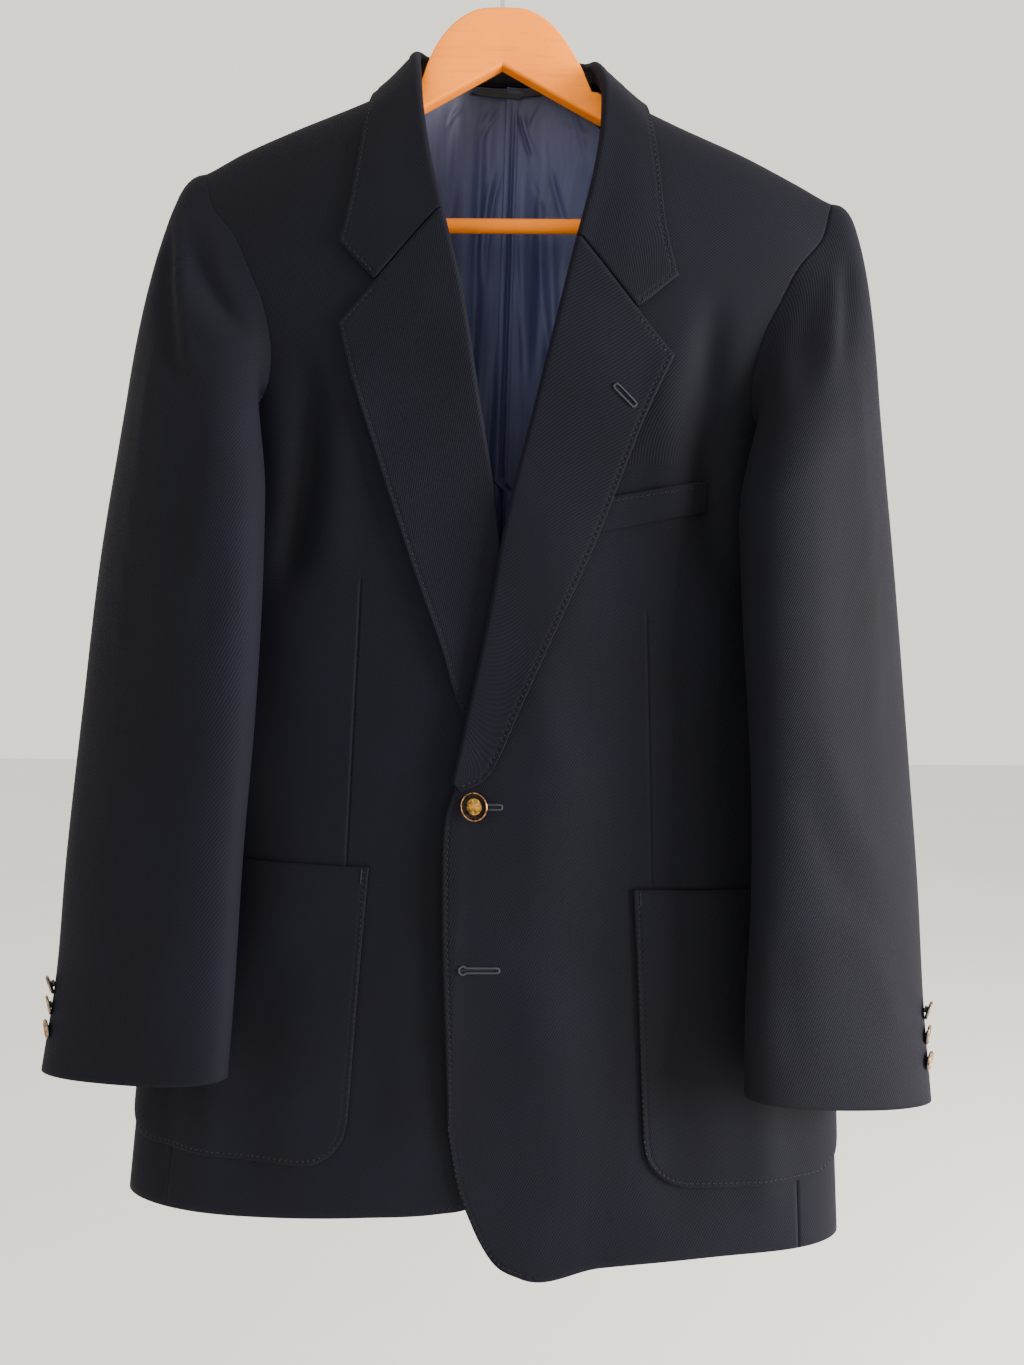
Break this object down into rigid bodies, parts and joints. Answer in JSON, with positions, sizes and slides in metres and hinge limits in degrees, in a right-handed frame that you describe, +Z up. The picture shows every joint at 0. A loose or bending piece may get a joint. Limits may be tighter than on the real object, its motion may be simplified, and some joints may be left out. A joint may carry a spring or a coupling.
{
  "type": "single breasted blazer on a wooden hanger",
  "caption": "Navy single breasted blazer with notched lapels, patch pockets and metal buttons, hanging on a plain wooden hanger with a trouser bar.",
  "frame": {"origin": "the inside top of the hanger's hook, where the rail carries it", "axes": "+Z up along the hook and the hanging cloth, +Y from the front of the garment to its back, +X to the garment's own left"},
  "size_m": [0.6426, 0.1445, 0.9825],
  "materials": {
    "wool_cloth": "matt",
    "satin_lining": "satin",
    "loop_tape": "matt",
    "antique_metal": "antique",
    "wood": "lacquered",
    "steel_wire": "polished"
  },
  "bodies": {
    "root": {"front_left": "wool_cloth", "front_right": "wool_cloth", "side_left": "wool_cloth", "side_right": "wool_cloth", "back_left": "wool_cloth", "back_right": "wool_cloth", "sleeve_left_top": "wool_cloth", "sleeve_left_under": "wool_cloth", "sleeve_right_top": "wool_cloth", "sleeve_right_under": "wool_cloth", "lapel_left": "wool_cloth", "lapel_right": "wool_cloth", "collar": "wool_cloth", "welt_breast": "wool_cloth", "pocket_left": "wool_cloth", "pocket_right": "wool_cloth", "lining_back": "satin_lining", "hanger_loop": "loop_tape", "button_front_upper": "antique_metal", "button_front_lower": "antique_metal", "button_cuff_left_1": "antique_metal", "button_cuff_left_2": "antique_metal", "button_cuff_left_3": "antique_metal", "button_cuff_right_1": "antique_metal", "button_cuff_right_2": "antique_metal", "button_cuff_right_3": "antique_metal", "hanger_body": "wood", "hanger_bar": "wood", "hanger_hook": "steel_wire"}
  },
  "joints": []
}
